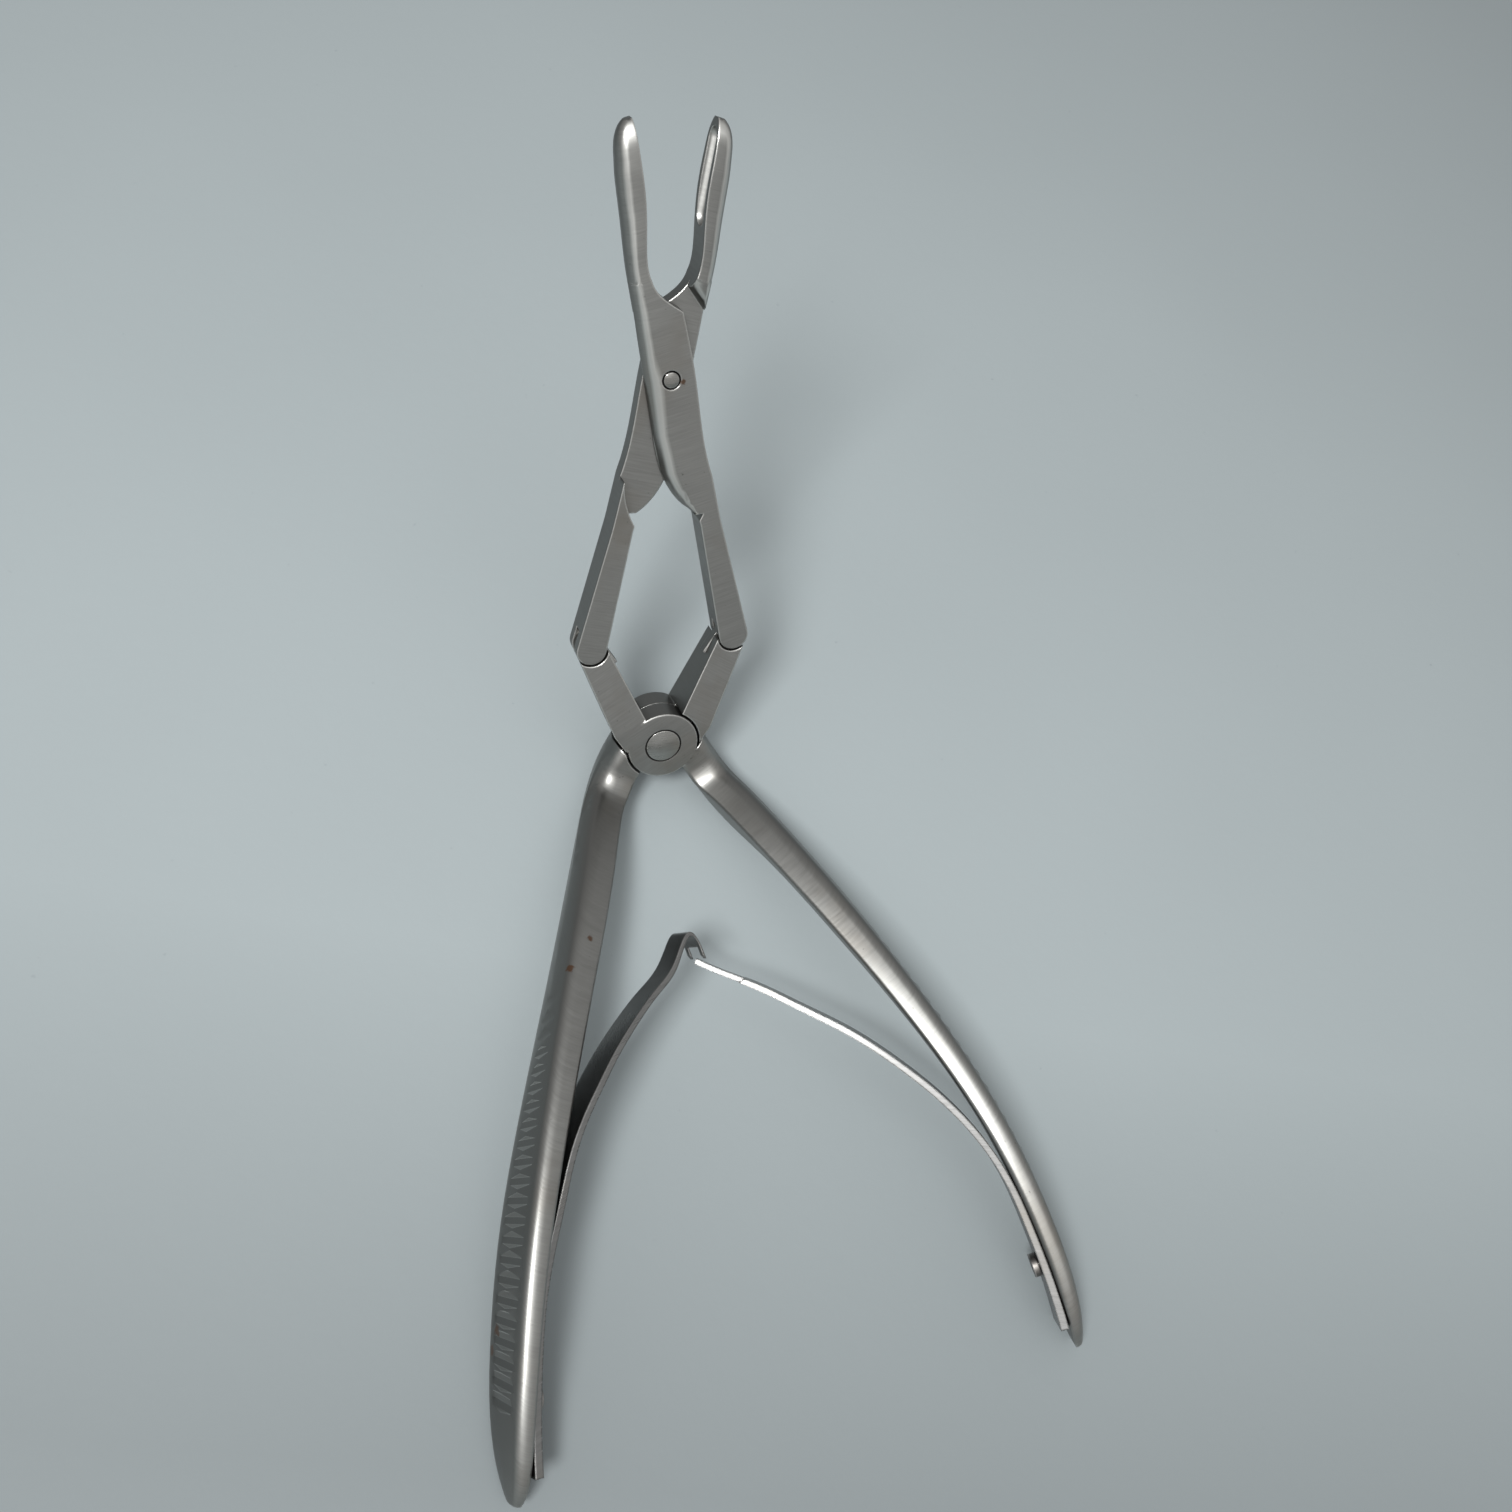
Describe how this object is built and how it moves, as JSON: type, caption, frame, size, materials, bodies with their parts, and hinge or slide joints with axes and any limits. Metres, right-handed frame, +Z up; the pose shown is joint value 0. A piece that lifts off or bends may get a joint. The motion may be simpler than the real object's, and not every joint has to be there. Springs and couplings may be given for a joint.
{
  "type": "septum forceps",
  "caption": "Compound-action septum forceps: crossed spring handles drive crossed cup jaws through a kite linkage.",
  "frame": {"origin": "centre of the hinge's flat back face, on the hinge pin's axis", "axes": "+Z up with the forceps lying on a table, +Y along the forceps from handles to jaws, +X to the right seen from above"},
  "size_m": [0.0866, 0.1536, 0.0885],
  "materials": {
    "lever_steel": "satin, fine brushed grain",
    "jaw_steel": "satin, ground across the tangs",
    "pin_steel": "satin, turned",
    "spring_steel": "polished strip",
    "screw_steel": "turned and slightly aged"
  },
  "bodies": {
    "front_lever": {"front_lever": "lever_steel", "main_pivot_pin": "pin_steel", "right_leaf_spring": "spring_steel", "right_spring_screw": "screw_steel"},
    "back_lever": {"back_lever": "lever_steel", "left_leaf_spring": "spring_steel", "left_spring_screw": "screw_steel"},
    "back_jaw": {"back_jaw": "jaw_steel", "jaw_pivot_pin": "pin_steel", "left_link_pin": "jaw_steel"},
    "front_jaw": {"front_jaw": "jaw_steel", "right_link_pin": "jaw_steel"}
  },
  "joints": [
    {"name": "main_hinge", "type": "hinge", "parent": "front_lever", "child": "back_lever", "pos_m": [0, -0.00309, 0.00194], "axis": [0, -0.8462, 0.5329], "range_deg": [0, 41], "stiffness_Nm_per_rad": 0.9, "springref_deg": -6.88, "deforming": ["left_leaf_spring", "right_leaf_spring"]},
    {"name": "left_link", "type": "hinge", "parent": "front_lever", "child": "back_jaw", "pos_m": [-0.01123, 0.0063, 0.01686], "axis": [0, -0.8462, 0.5329], "range_deg": [0, 30]},
    {"name": "jaw_pivot", "type": "hinge", "parent": "back_jaw", "child": "front_jaw", "pos_m": [0, 0.0282, 0.05163], "axis": [0, -0.8462, 0.5329], "range_deg": [-19, 0]}
  ],
  "couplings": [
    {"joint": "left_link", "follows": "main_hinge", "ratio": 0.72999},
    {"joint": "jaw_pivot", "follows": "main_hinge", "ratio": -0.45998}
  ]
}
